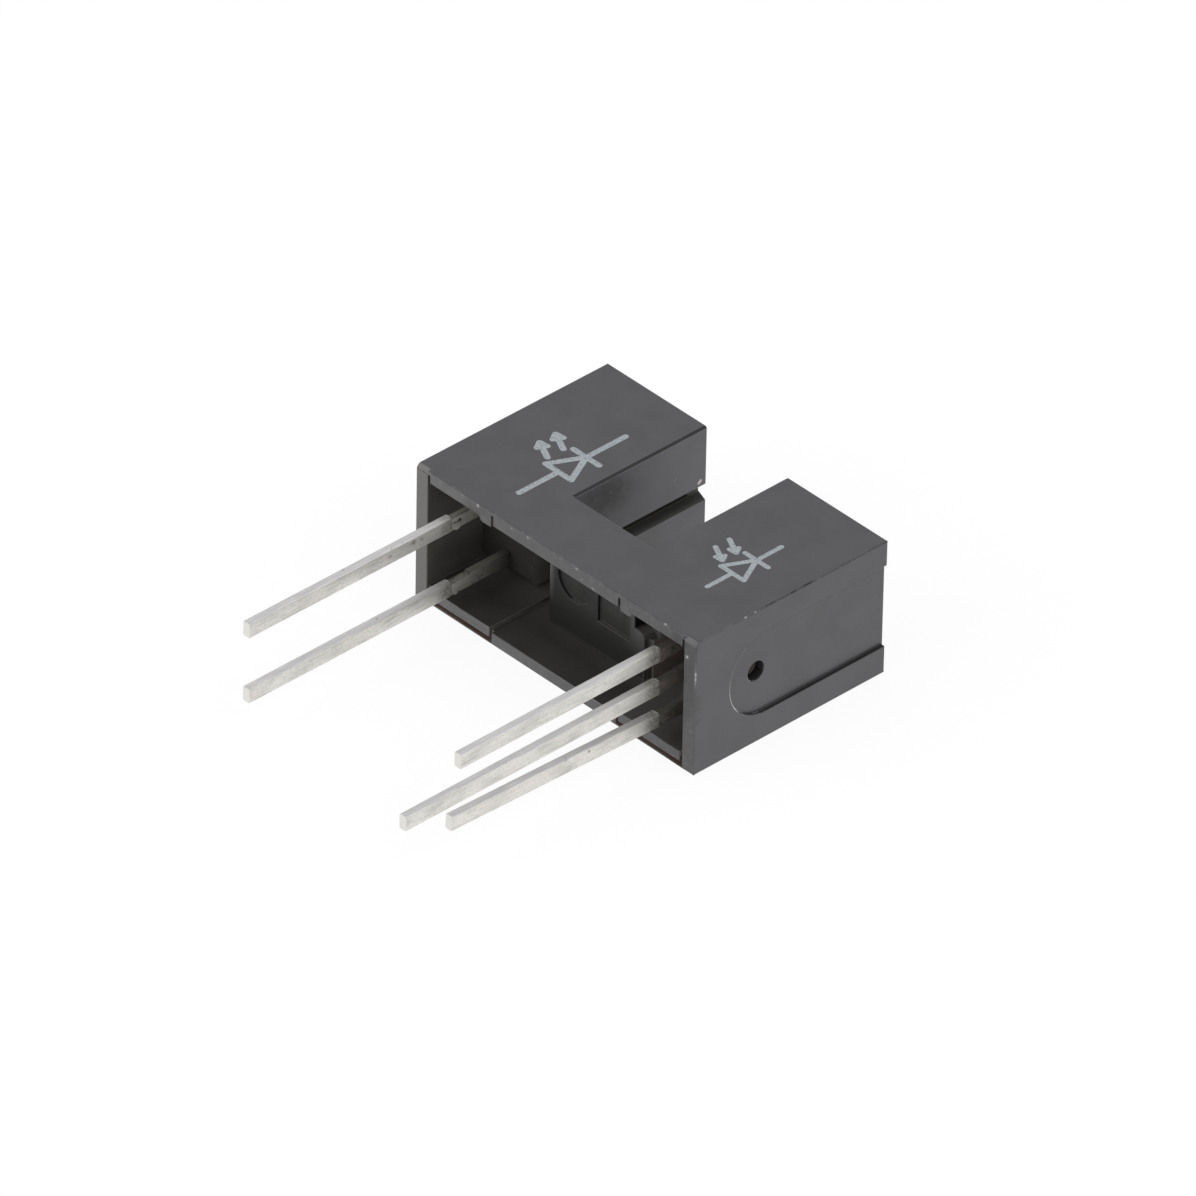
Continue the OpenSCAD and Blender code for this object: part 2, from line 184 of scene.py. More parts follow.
class Shader(Graph):
    """A procedural material whose patterns end in one Principled shader."""

    def __init__(self, name: str) -> None:
        """Makes the material with its shader, output and Object coordinates."""
        self.material = bpy.data.materials.new(name)
        self.material.use_nodes = True
        super().__init__(self.material.node_tree)
        self.surface = self.node("ShaderNodeBsdfPrincipled")
        output = self.node("ShaderNodeOutputMaterial")
        self.wire(self.surface.outputs["BSDF"], output.inputs["Surface"])
        self.place = self.node("ShaderNodeTexCoord").outputs["Object"]

    def noise(
        self, feature_mm: float, detail: float = 2.0, stretch: Point = (1.0, 1.0, 1.0)
    ) -> Socket:
        """Adds a noise pattern.

        Args:
            feature_mm: size of its features.
            detail: number of finer layers.
            stretch: how much longer the features are along each axis.

        Returns:
            The pattern's value, 0 to 1.
        """
        mapping = self.node("ShaderNodeMapping")
        mapping.inputs["Scale"].default_value = [1.0 / s for s in stretch]
        texture = self.node("ShaderNodeTexNoise", {"Scale": 1.0 / (feature_mm * MM), "Detail": detail})
        self.wire(self.place, mapping.inputs["Vector"])
        self.wire(mapping.outputs["Vector"], texture.inputs["Vector"])
        return texture.outputs[0]

    def span(self, value: Socket, source: Span, target: Span) -> Socket:
        """Maps a value from one range onto another, clamped.

        Args:
            value: the value to map.
            source: range that it comes from.
            target: range that it goes to.

        Returns:
            The mapped value.
        """
        mapped = self.node(
            "ShaderNodeMapRange",
            {"From Min": source[0], "From Max": source[1], "To Min": target[0], "To Max": target[1]},
        )
        self.wire(value, mapped.inputs["Value"])
        return mapped.outputs["Result"]

    def blend(
        self, share: Socket, first: Colour | Socket, second: Colour | Socket
    ) -> Socket:
        """Mixes two colours.

        Args:
            share: share of the second colour.
            first: colour, or socket that gives it.
            second: colour, or socket that gives it.

        Returns:
            The mixed colour.
        """
        mix = self.node("ShaderNodeMix", data_type="RGBA")
        self.wire(share, mix.inputs[0])
        for socket, colour in ((mix.inputs[6], first), (mix.inputs[7], second)):
            if isinstance(colour, tuple):
                socket.default_value = (*colour, 1.0)
            else:
                self.wire(colour, socket)
        return mix.outputs[2]

    def product(self, first: Socket, second: Socket) -> Socket:
        """Returns the product of two values."""
        times = self.node("ShaderNodeMath", operation="MULTIPLY")
        self.wire(first, times.inputs[0])
        self.wire(second, times.inputs[1])
        return times.outputs[0]

    def along(self, axis: str) -> Socket:
        """Returns the place along an axis, X, Y or Z, in metres."""
        split = self.node("ShaderNodeSeparateXYZ")
        self.wire(self.place, split.inputs[0])
        return split.outputs[axis]

    def facing(self, axis: str) -> Socket:
        """Returns how far the surface faces along an axis, -1 to 1."""
        split = self.node("ShaderNodeSeparateXYZ")
        self.wire(self.node("ShaderNodeNewGeometry").outputs["Normal"], split.inputs[0])
        return split.outputs[axis]

    def ramped(self, colour: Socket, ramps: tuple[Ramp, ...]) -> Socket:
        """Lays ramps over a colour.

        Args:
            colour: the colour below.
            ramps: the ramps in order.

        Returns:
            The colour with all of them.
        """
        for ramp in ramps:
            places = (ramp.span_mm[0] * MM, ramp.span_mm[1] * MM)
            colour = self.blend(self.span(self.along(ramp.axis), places, FULL), colour, ramp.tone)
        return colour

    def spotted(self, colour: Socket, spots: tuple[Spot, ...]) -> Socket:
        """Lays spots over a colour.

        Args:
            colour: the colour below.
            spots: the spots in order.

        Returns:
            The colour with all of them.
        """
        for spot in spots:
            reach = self.node("ShaderNodeVectorMath", operation="DISTANCE")
            self.wire(self.place, reach.inputs[0])
            reach.inputs[1].default_value = [c * MM for c in spot.place_mm]
            fade = (spot.radius_mm * MM, spot.radius_mm * spot.core * MM)
            share = self.span(reach.outputs["Value"], fade, FULL)
            if spot.patch_mm:
                broken = self.span(self.noise(spot.patch_mm, 4.0), spot.patches, spot.thin)
                share = self.product(share, broken)
            colour = self.blend(share, colour, spot.tone)
        return colour

    def relief(self, layers: list[tuple[Socket, float, float]]) -> None:
        """Adds bump layers to the surface.

        Args:
            layers: height, strength and depth in mm of each layer, first the lowest.
        """
        normal = None
        for height, strength, depth_mm in layers:
            bump = self.node("ShaderNodeBump", {"Strength": strength, "Distance": depth_mm * MM})
            self.wire(height, bump.inputs["Height"])
            if normal is not None:
                self.wire(normal, bump.inputs["Normal"])
            normal = bump.outputs["Normal"]
        self.wire(normal, self.surface.inputs["Normal"])

    def finish(self, colour: Socket, roughness: Socket, **constants: float) -> Material:
        """Feeds the shader.

        Args:
            colour: base colour.
            roughness: roughness.
            constants: values that are the same all over, by socket name with underscores for blanks.

        Returns:
            The finished material.
        """
        self.wire(colour, self.surface.inputs["Base Color"])
        self.wire(roughness, self.surface.inputs["Roughness"])
        for name, value in constants.items():
            self.surface.inputs[name.replace("_", " ")].default_value = value
        return self.material


@dataclass(frozen=True)
class MouldedPlastic:
    """Black moulded plastic: flow clouds, a fine grain, light scuffs, and ramps and spots of other tones,
    which on the housing are mostly painted light and shade.
    """

    name: str
    dark: Colour = (0.0235, 0.0216, 0.026)
    light: Colour = (0.0325, 0.03, 0.036)
    scuff: Colour = (0.3, 0.295, 0.3)
    scuff_from: float = 0.8
    roughness: Span = (0.33, 0.42)
    ior: float = 1.75
    cloud_mm: float = 1.3
    grain_mm: float = 0.05
    scuff_mm: float = 0.13
    scuff_soft: float = 0.05
    cloud_from: Span = (0.35, 0.65)
    cloud_bump: Span = (0.25, 0.004)
    grain_bump: Span = (0.35, 0.0025)
    ramps: tuple[Ramp, ...] = ()
    spots: tuple[Spot, ...] = ()

    def build(self) -> Material:
        """Returns the material."""
        shader = Shader(self.name)
        cloud = shader.noise(self.cloud_mm, 3.0)
        grain = shader.noise(self.grain_mm, 2.0)
        worn = (self.scuff_from, self.scuff_from + self.scuff_soft)
        scuff = shader.span(shader.noise(self.scuff_mm, 3.0), worn, FULL)
        tone = shader.blend(shader.span(cloud, self.cloud_from, FULL), self.dark, self.light)
        tone = shader.spotted(shader.ramped(tone, self.ramps), self.spots)
        colour = shader.blend(scuff, tone, self.scuff)
        shader.relief([(cloud, *self.cloud_bump), (grain, *self.grain_bump)])
        return shader.finish(colour, shader.span(grain, MIDDLE, self.roughness), IOR=self.ior)


@dataclass(frozen=True)
class TinnedMetal:
    """Satin tin on a stamped strip: streaks, dull patches, dents, painted shade on its upper faces and on
    faces that face the tip, ramps and spots.
    """

    name: str
    bright: Colour = (0.75, 0.73, 0.695)
    dull: Colour = (0.52, 0.507, 0.48)
    roughness: Span = (0.4, 0.52)
    metallic: float = 0.6
    streak_mm: float = 0.05
    patch_mm: float = 0.5
    dent_mm: float = 0.24
    dent_from: float = 0.7
    dent_soft: float = 0.1
    dent: Colour = (0.3, 0.285, 0.255)
    # darker streaky tone on faces that face up: painted shade
    tarnish: Colour = (0.54, 0.535, 0.54)
    # tone of faces that face the tip (-Y): painted shade
    butt: Colour = (0.66, 0.648, 0.62)
    grain_mm: float = 0.07
    streak_stretch: Point = (1.0, 22.0, 1.0)
    patch_stretch: Point = (1.0, 2.0, 1.0)
    grain_stretch: Point = (1.0, 1.6, 1.0)
    dull_from: Span = (0.2, 0.42)
    grain_from: Span = (0.45, 0.75)
    grain_share: Span = (0.0, 0.7)
    upper_from: Span = (0.1, 0.5)
    film_from: Span = (0.3, 0.6)
    film_share: Span = (0.3, 0.9)
    butt_from: Span = (-0.5, -0.9)
    patch_bump: Span = (0.35, 0.012)
    streak_bump: Span = (0.3, 0.004)
    grain_bump: Span = (0.3, 0.004)
    ramps: tuple[Ramp, ...] = ()
    spots: tuple[Spot, ...] = ()

    def build(self) -> Material:
        """Returns the material."""
        shader = Shader(self.name)
        streak = shader.noise(self.streak_mm, 3.0, self.streak_stretch)
        patch = shader.noise(self.patch_mm, 3.0, self.patch_stretch)
        grain = shader.noise(self.grain_mm, 3.0, self.grain_stretch)
        deep = (self.dent_from, self.dent_from + self.dent_soft)
        dent = shader.span(shader.noise(self.dent_mm, 2.0), deep, FULL)
        dull = shader.span(shader.product(streak, patch), self.dull_from, FULL)
        clean = shader.blend(dull, self.bright, self.dull)
        clean = shader.blend(shader.span(grain, self.grain_from, self.grain_share), clean, self.dull)
        # Upper faces darken in streaks: painted shade.
        upper = shader.span(shader.facing("Z"), self.upper_from, FULL)
        film = shader.product(upper, shader.span(streak, self.film_from, self.film_share))
        colour = shader.blend(film, clean, self.tarnish)
        colour = shader.ramped(shader.blend(dent, colour, self.dent), self.ramps)
        # Faces that face the tip take another tone: painted shade.
        end = shader.span(shader.facing("Y"), self.butt_from, FULL)
        colour = shader.blend(end, colour, self.butt)
        colour = shader.spotted(colour, self.spots)
        shader.relief([(patch, *self.patch_bump), (streak, *self.streak_bump), (grain, *self.grain_bump)])
        return shader.finish(colour, shader.span(patch, MIDDLE, self.roughness), Metallic=self.metallic)


@dataclass(frozen=True)
class CastResin:
    """Cast resin with a faint tint that drifts through it, and its faces that face +X in another tone,
    painted light where that tone is lighter.
    """

    name: str
    dark: Colour
    light: Colour
    flank: Colour
    roughness: Span = (0.5, 0.62)
    ior: float = 1.3
    drift_mm: float = 0.9
    skin_mm: float = 0.12
    flank_from: Span = (0.5, 0.9)
    skin_bump: Span = (0.15, 0.002)

    def build(self) -> Material:
        """Returns the material."""
        shader = Shader(self.name)
        drift = shader.noise(self.drift_mm, 2.0)
        skin = shader.noise(self.skin_mm, 2.0)
        colour = shader.blend(shader.span(drift, MIDDLE, FULL), self.dark, self.light)
        # Faces that face +X take the flank tone: painted light.
        side = shader.span(shader.facing("X"), self.flank_from, FULL)
        colour = shader.blend(side, colour, self.flank)
        shader.relief([(skin, *self.skin_bump)])
        return shader.finish(colour, shader.span(skin, MIDDLE, self.roughness), IOR=self.ior)


@dataclass(frozen=True)
class PlainMetal:
    """Polished metal or semiconductor with a fine uneven sheen."""

    name: str
    first: Colour
    second: Colour
    roughness: Span = (0.15, 0.3)
    grain_mm: float = 0.06
    grain_bump: Span = (0.2, 0.001)
    metallic: float = 1.0

    def build(self) -> Material:
        """Returns the material."""
        shader = Shader(self.name)
        grain = shader.noise(self.grain_mm, 3.0)
        colour = shader.blend(grain, self.first, self.second)
        shader.relief([(grain, *self.grain_bump)])
        return shader.finish(colour, shader.span(grain, MIDDLE, self.roughness), Metallic=self.metallic)


@dataclass(frozen=True)
class PrintInk:
    """Pale printed ink, thin enough that the plastic shows through in specks."""

    name: str = "pale_print"
    ink: Colour = (0.30, 0.33, 0.345)
    worn: Colour = (0.14, 0.15, 0.155)
    speck_mm: float = 0.07
    speck_from: Span = (0.52, 0.68)
    speck_share: Span = (0.0, 0.8)
    speck_bump: Span = (0.3, 0.002)
    roughness: Span = (0.5, 0.7)

    def build(self) -> Material:
        """Returns the material."""
        shader = Shader(self.name)
        speck = shader.noise(self.speck_mm, 2.0)
        colour = shader.blend(shader.span(speck, self.speck_from, self.speck_share), self.ink, self.worn)
        shader.relief([(speck, *self.speck_bump)])
        return shader.finish(colour, shader.span(speck, MIDDLE, self.roughness))


def link_piece(piece: Piece, slot: Slot | None, *nodes: str) -> Piece:
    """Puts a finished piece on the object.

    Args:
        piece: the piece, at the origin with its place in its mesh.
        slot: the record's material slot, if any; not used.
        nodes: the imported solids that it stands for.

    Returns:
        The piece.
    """
    if piece.name not in bpy.context.scene.collection.objects:
        bpy.context.scene.collection.objects.link(piece)
    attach(piece, BODY)
    if nodes:
        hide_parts(*nodes)
    LOG.info("piece %s: %d faces", piece.name, len(piece.data.polygons))
    return piece


def dress_node(node: str, material: Material) -> None:
    """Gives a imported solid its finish.

    Args:
        node: name of the solid.
        material: its finish.
    """
    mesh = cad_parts[node].data
    mesh.materials.clear()
    mesh.materials.append(material)
    LOG.info("node %s dressed", node)


def merged_copy(node: str) -> Solid:
    """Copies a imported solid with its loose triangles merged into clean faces.

    Args:
        node: name of the solid.

    Returns:
        The copy, to be edited and freed by the caller.
    """
    copy = bmesh.new()
    copy.from_mesh(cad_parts[node].data)
    bmesh.ops.remove_doubles(copy, verts=copy.verts, dist=WELD_MM * MM)
    bmesh.ops.dissolve_limit(
        copy,
        angle_limit=math.radians(FLAT_DEG),
        verts=copy.verts,
        edges=copy.edges,
        use_dissolve_boundaries=False,
    )
    return copy


def soften_edges(solid: Solid, radius_mm: float, sharp_deg: float, segments: int) -> None:
    """Rounds a solid's sharp edges.

    Args:
        solid: the mesh, changed in place.
        radius_mm: width of the rounding.
        sharp_deg: edges whose faces turn by more than this are rounded.
        segments: steps across the rounding.
    """
    limit = math.radians(sharp_deg)
    edges = [e for e in solid.edges if len(e.link_faces) == 2 and e.calc_face_angle() > limit]
    made = bmesh.ops.bevel(
        solid,
        geom=edges,
        offset=radius_mm * MM,
        offset_type="OFFSET",
        segments=segments,
        profile=0.5,
        affect="EDGES",
        clamp_overlap=False,
    )
    for face in made["faces"]:
        face.smooth = True


def mesh_object(name: str, solid: Solid, materials: list[Material]) -> Piece:
    """Turns a finished solid into an object at the origin.

    Args:
        name: name of the piece.
        solid: its mesh, which is freed.
        materials: its materials in order.

    Returns:
        The object, not yet linked.
    """
    mesh = bpy.data.meshes.new(name)
    solid.normal_update()
    solid.to_mesh(mesh)
    solid.free()
    for material in materials:
        mesh.materials.append(material)
    return bpy.data.objects.new(name, mesh)


@dataclass
class Housing:
    """The moulded housing with its edges softened and a copy of its black plastic for each part of its
    surface, most of them toned lighter or darker as painted light and shade.
    """

    edge_mm: float = 0.03
    edge_steps: int = 2
    sharp_deg: float = 38.0
    rim_mm: float = 0.05
    chamfer_mm: float = 0.17
    recess_mm: float = 3.2
    end_wall_mm: float = 0.53
    broad_wall_mm: float = 0.44
    tip_wall_mm: float = 0.45
    slot_mm: Span = (1.85, 2.55)
    slot_wall_mm: float = 0.54
    groove_mm: float = 0.33
    step_mm: float = 0.66
    mark_lean: float = 0.25
    arc_lean: float = 0.2
    shell: MouldedPlastic = MouldedPlastic(
        "moulded_black",
        # broken darker patches down the end face beside the lower front corner
        spots=(
            Spot((6.5, 0.1, 0.35), 0.24, (0.013, 0.012, 0.0135), 0.15),
            Spot((6.5, 0.12, -0.05), 0.28, (0.012, 0.011, 0.0125), 0.15),
            Spot((6.5, 0.12, -0.5), 0.25, (0.014, 0.013, 0.0145), 0.15),
        ),
    )
    # lighter copy of the black plastic on the slot's walls: painted light. The two large dark spots near the
    # slot's root are painted dark reflection; small pale spots and two warm bright spots lie further out
    # towards the tip.
    slot: MouldedPlastic = MouldedPlastic(
        "moulded_black_slot",
        dark=(0.0335, 0.0304, 0.037),
        light=(0.048, 0.044, 0.0525),
        spots=(
            Spot((-1.85, 3.7, 1.85), 1.0, (0.004, 0.0037, 0.004), 0.35),
            Spot((-1.85, 4.45, 1.75), 0.75, (0.006, 0.0056, 0.006), 0.3),
            Spot((-1.85, 7.99, 0.485), 0.09, (0.5, 0.455, 0.41)),
            Spot((-1.85, 8.05, 0.53), 0.09, (0.56, 0.51, 0.46)),
            Spot((-1.85, 6.91, 1.08), 0.05, (0.11, 0.107, 0.11)),
            Spot((-1.85, 6.97, 1.15), 0.04, (0.1, 0.097, 0.1)),
            Spot((-1.85, 4.13, 1.97), 0.05, (0.08, 0.077, 0.08)),
        ),
    )
    # lighter copy of the black plastic on the lead side: painted light. The small pale spots are specks on
    # the rim.
    rim: MouldedPlastic = MouldedPlastic(
        "moulded_black_rim",
        dark=(0.04, 0.0382, 0.0382),
        light=(0.063, 0.061, 0.059),
        scuff=(0.06, 0.058, 0.06),
        scuff_from=0.48,
        scuff_mm=0.2,
        scuff_soft=0.32,
        roughness=(0.38, 0.52),
        cloud_mm=0.35,
        spots=(
            Spot((-4.33, 0.0, 2.51), 0.08, (0.16, 0.155, 0.158), 0.06),
            Spot((-3.6, 0.0, 2.47), 0.07, (0.4, 0.39, 0.39)),
            Spot((-2.03, 0.0, 2.43), 0.07, (0.17, 0.165, 0.168), 0.06),
            Spot((-1.28, 0.0, 2.48), 0.07, (0.3, 0.29, 0.295), 0.06),
            Spot((1.0, 0.0, 2.52), 0.09, (0.24, 0.23, 0.235), 0.06),
            Spot((1.23, 0.0, 2.21), 0.06, (0.17, 0.165, 0.168), 0.06),
            Spot((1.75, 0.0, 2.14), 0.08, (0.2, 0.19, 0.195), 0.06),
            Spot((6.09, 0.0, 1.85), 0.07, (0.42, 0.405, 0.405)),
        ),
        # painted shade darkening towards +X, and painted light at the left end
        ramps=(
            Ramp("X", (-6.0, 6.5), (0.019, 0.018, 0.0195)),
            Ramp("X", (-5.6, -6.0), (0.066, 0.0625, 0.057)),
        ),
    )
    # lighter copy of the black plastic on the floors inside the hollow, lighter still deeper in and on the
    # detector side: painted light
    floor: MouldedPlastic = MouldedPlastic(
        "moulded_black_floor",
        dark=(0.031, 0.0297, 0.0267),
        light=(0.04, 0.0383, 0.0344),
        roughness=(0.55, 0.7),
        ior=1.35,
        ramps=(
            Ramp("Y", (1.2, 2.5), (0.068, 0.0648, 0.0582)),
            Ramp("X", (2.3, 2.7), (0.066, 0.064, 0.06)),
        ),
    )
    # much lighter copy of the black plastic on the walls and steps inside the hollow: painted light. It turns
    # lighter and brown on the detector side, painted light, and warm brown in the groove under the sills,
    # painted shade.
    wall: MouldedPlastic = MouldedPlastic(
        "moulded_black_wall",
        dark=(0.074, 0.071, 0.064),
        light=(0.096, 0.092, 0.083),
        roughness=(0.55, 0.7),
        ior=1.35,
        ramps=(
            Ramp("X", (2.34, 2.4), (0.215, 0.192, 0.172)),
            Ramp("Z", (-2.15, -2.2), (0.115, 0.082, 0.067)),
        ),
    )
    # copy of the black plastic on the plate behind the slot: painted light along both side edges and painted
    # shade towards the bottom
    plate: MouldedPlastic = MouldedPlastic(
        "moulded_black_plate",
        dark=(0.025, 0.024, 0.0235),
        light=(0.04, 0.0385, 0.038),
        roughness=(0.5, 0.65),
        ior=1.35,
        cloud_mm=0.6,
        ramps=(
            Ramp("X", (-1.95, -2.2), (0.16, 0.158, 0.163)),
            Ramp("X", (1.2, 1.9), (0.105, 0.102, 0.102)),
            Ramp("Z", (0.7, -1.4), (0.0125, 0.012, 0.011)),
        ),
    )
    shade: MouldedPlastic = MouldedPlastic(
        "moulded_black_shade",
        dark=(0.009, 0.0087, 0.0085),
        light=(0.015, 0.0145, 0.0142),
        roughness=(0.45, 0.6),
        ior=1.4,
    )
    # mottled wear along the upper front and end edges; the broad lighter patch is painted light over the
    # bevel's shade, and three black patches lie along the end's upper edge
    worn: MouldedPlastic = MouldedPlastic(
        "moulded_black_worn",
        dark=(0.036, 0.034, 0.038),
        light=(0.056, 0.0535, 0.058),
        scuff=(0.11, 0.107, 0.11),
        scuff_from=0.54,
        scuff_mm=0.18,
        scuff_soft=0.25,
        roughness=(0.5, 0.65),
        ior=1.5,
        cloud_mm=0.3,
        spots=(
            Spot((6.5, 0.9, 2.575), 1.3, (0.078, 0.075, 0.078), 0.12),
            Spot((5.07, 0.0, 2.56), 0.07, (0.26, 0.25, 0.255)),
            Spot((6.48, 2.14, 2.57), 0.07, (0.26, 0.25, 0.255)),
            Spot((6.48, 2.56, 2.57), 0.06, (0.22, 0.21, 0.215)),
            Spot((6.5, 3.22, 2.575), 0.3, (0.002, 0.002, 0.002), 0.2),
            Spot((6.5, 4.06, 2.575), 0.45, (0.002, 0.002, 0.002), 0.2),
            Spot((6.5, 4.81, 2.575), 0.35, (0.002, 0.002, 0.002), 0.2),
        ),
    )
    glint: MouldedPlastic = MouldedPlastic(
        "moulded_black_glint",
        dark=(0.14, 0.137, 0.14),
        light=(0.34, 0.33, 0.335),
        roughness=(0.4, 0.55),
        ior=1.6,
        cloud_mm=0.6,
        ramps=(
            Ramp("Z", (0.7, -0.2), (0.62, 0.608, 0.612)),
            Ramp("Z", (-0.8, -1.05), (0.1, 0.097, 0.1)),
        ),
        spots=(Spot((6.4, 2.75, 0.12), 0.9, (0.12, 0.117, 0.12)),),
    )
    # vertical front corner of the detector's end: painted highlight spots and a lighter band partway up, and
    # painted shade at the top of the end wall's chamfer
    corner: MouldedPlastic = MouldedPlastic(
        "moulded_black_corner",
        ramps=(
            Ramp("Z", (0.75, 1.0), (0.07, 0.067, 0.068)),
            Ramp("Z", (1.5, 1.85), (0.028, 0.026, 0.031)),
        ),
        spots=(
            Spot((6.49, 0.0, 1.36), 0.09, (0.3, 0.29, 0.29)),
            Spot((6.49, 0.0, 1.18), 0.11, (0.24, 0.232, 0.232)),
            Spot((6.49, 0.0, 1.02), 0.08, (0.13, 0.126, 0.126)),
            Spot((6.25, 0.1, 2.5), 0.75, (0.0185, 0.0175, 0.0195)),
            Spot((6.46, 0.12, 2.46), 0.24, (0.009, 0.0085, 0.0095)),
        ),
    )
    # dark copy of the black plastic in the slot's grooves, lighter towards both edges of the groove: painted
    # shade
    groove: MouldedPlastic = MouldedPlastic(
        "moulded_black_groove",
        dark=(0.012, 0.0112, 0.0102),
        light=(0.017, 0.016, 0.0145),
        roughness=(0.5, 0.65),
        ior=1.35,
        ramps=(
            Ramp("Z", (-0.17, -0.1), (0.07, 0.066, 0.06)),
            Ramp("Z", (-0.23, -0.37), (0.07, 0.067, 0.062)),
        ),
    )

    def front_zone(self, middle: Vector, facing: Vector, high: Vector) -> Zone | None:
        """Finds the zone of a face on the lead side or on an upper front or end edge.

        Args:
            middle: middle of the face in mm.
            facing: its normal.
            high: highest corner of the housing in mm.

        Returns:
            Its zone, or None for a face that lies elsewhere.
        """
        on_front = middle.y < self.rim_mm and facing.y < -LEANS
        on_edge = abs(middle.x) > high.x - self.rim_mm and abs(facing.x) > LEANS and middle.z > 0.0
        if facing.z > LEANS and (on_front or on_edge):
            return Zone.WORN if middle.z > 0.0 else Zone.RIM
        if on_front and facing.x > LEANS and middle.x > high.x - self.rim_mm:
            return Zone.CORNER
        if on_front:
            return Zone.RIM
        if middle.y < self.chamfer_mm and -FLUSH < facing.y < -LEANS:
            return Zone.CORNER if middle.x > 0.0 else Zone.RIM
        return None

    def hollow_zone(self, middle: Vector, facing: Vector, low: Vector, high: Vector) -> Zone | None:
        """Finds the zone of a face inside the hollow.

        Args:
            middle: middle of the face in mm.
            facing: its normal.
            low: lowest corner of the housing in mm.
            high: highest corner of the housing in mm.

        Returns:
            Its zone, or None for a face that lies elsewhere.
        """
        slot_x, slot_y = self.slot_mm
        across, height = abs(middle.x), abs(middle.z)
        within = across < high.x - self.end_wall_mm
        in_arm = within and across > slot_x + self.slot_wall_mm
        inside = within and self.slot_wall_mm < middle.y and (middle.y < slot_y or in_arm and middle.x < 0.0)
        if inside and abs(facing.x) > LEANS and low.z < middle.z < low.z + self.step_mm:
            return Zone.WALL if abs(facing.x) > SQUARE else Zone.FLOOR
        behind_slot = across < slot_x + self.slot_wall_mm and middle.y < slot_y - self.edge_mm
        level = within and abs(facing.z) > SQUARE and height > high.z / 2
        hollow = height < high.z - self.broad_wall_mm and middle.y < high.y - self.tip_wall_mm
        if not (hollow and (in_arm or behind_slot or level)):
            return None
        fillet = LEANS < facing.z < FLUSH and facing.y < -LEANS and middle.z < low.z / 2
        if fillet or behind_slot and facing.x > self.mark_lean and across < slot_x:
            return Zone.SHADE
        if behind_slot and facing.y < -FACES:
            return Zone.PLATE
        return Zone.WALL if abs(facing.x) > FACES or abs(facing.y) > FACES else Zone.FLOOR

    def outer_zone(self, middle: Vector, facing: Vector, low: Vector, high: Vector) -> Zone:
        """Finds the zone of a face on the arms, the slot or the underside.

        Args:
            middle: middle of the face in mm.
            facing: its normal.
            low: lowest corner of the housing in mm.
            high: highest corner of the housing in mm.

        Returns:
            Its zone.
        """
        slot_x, slot_y = self.slot_mm
        across, height = abs(middle.x), abs(middle.z)
        near_slot = across < slot_x + self.slot_wall_mm and middle.y > slot_y
        on_end = high.x - self.end_wall_mm < across < high.x
        low_end = on_end and middle.z < 0.0
        if low_end and LEANS < facing.z < SQUARE and across < high.x - self.edge_mm:
            return Zone.SHADE
        arc = abs(facing.x) > self.arc_lean and facing.y > self.arc_lean
        if on_end and arc and middle.y < self.recess_mm:
            return Zone.GLINT
        if near_slot and abs(facing.x) > SQUARE and across < slot_x + self.edge_mm:
            return Zone.SLOT
        if near_slot and across > slot_x and height < self.groove_mm:
            return Zone.GROOVE
        # The groove under the sills takes the wall's copy, whose lowest ramp paints a warm shade tone there.
        if low.z < middle.z < low.z + self.broad_wall_mm and self.rim_mm < middle.y < self.slot_wall_mm:
            return Zone.WALL
        ledge = low_end and facing.z > SQUARE
        bevel = near_slot and abs(facing.z) > LEANS and abs(facing.x) > LEANS
        return Zone.SHADE if bevel or ledge else Zone.SHELL

    def zone(self, face: bmesh.types.BMFace, low: Vector, high: Vector) -> Zone:
        """Finds the part of the surface that a face belongs to.

        Args:
            face: face of the housing.
            low: lowest corner of the housing in mm.
            high: highest corner of the housing in mm.

        Returns:
            Its zone.
        """
        middle, facing = face.calc_center_median() / MM, face.normal
        found = self.front_zone(middle, facing, high) or self.hollow_zone(middle, facing, low, high)
        return found or self.outer_zone(middle, facing, low, high)

    def build(self) -> Piece:
        """Returns the housing that stands for its solid."""
        solid = merged_copy("housing")
        soften_edges(solid, self.edge_mm, self.sharp_deg, self.edge_steps)
        solid.normal_update()
        low, high = (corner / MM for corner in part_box("housing"))
        for face in solid.faces:
            face.material_index = self.zone(face, low, high).value
        finishes = (
            self.shell, self.rim, self.floor, self.wall, self.plate,
            self.shade, self.worn, self.groove, self.slot, self.glint, self.corner,
        )
        piece = mesh_object("moulded_housing", solid, [finish.build() for finish in finishes])
        return link_piece(piece, Slot.HOUSING, "housing")


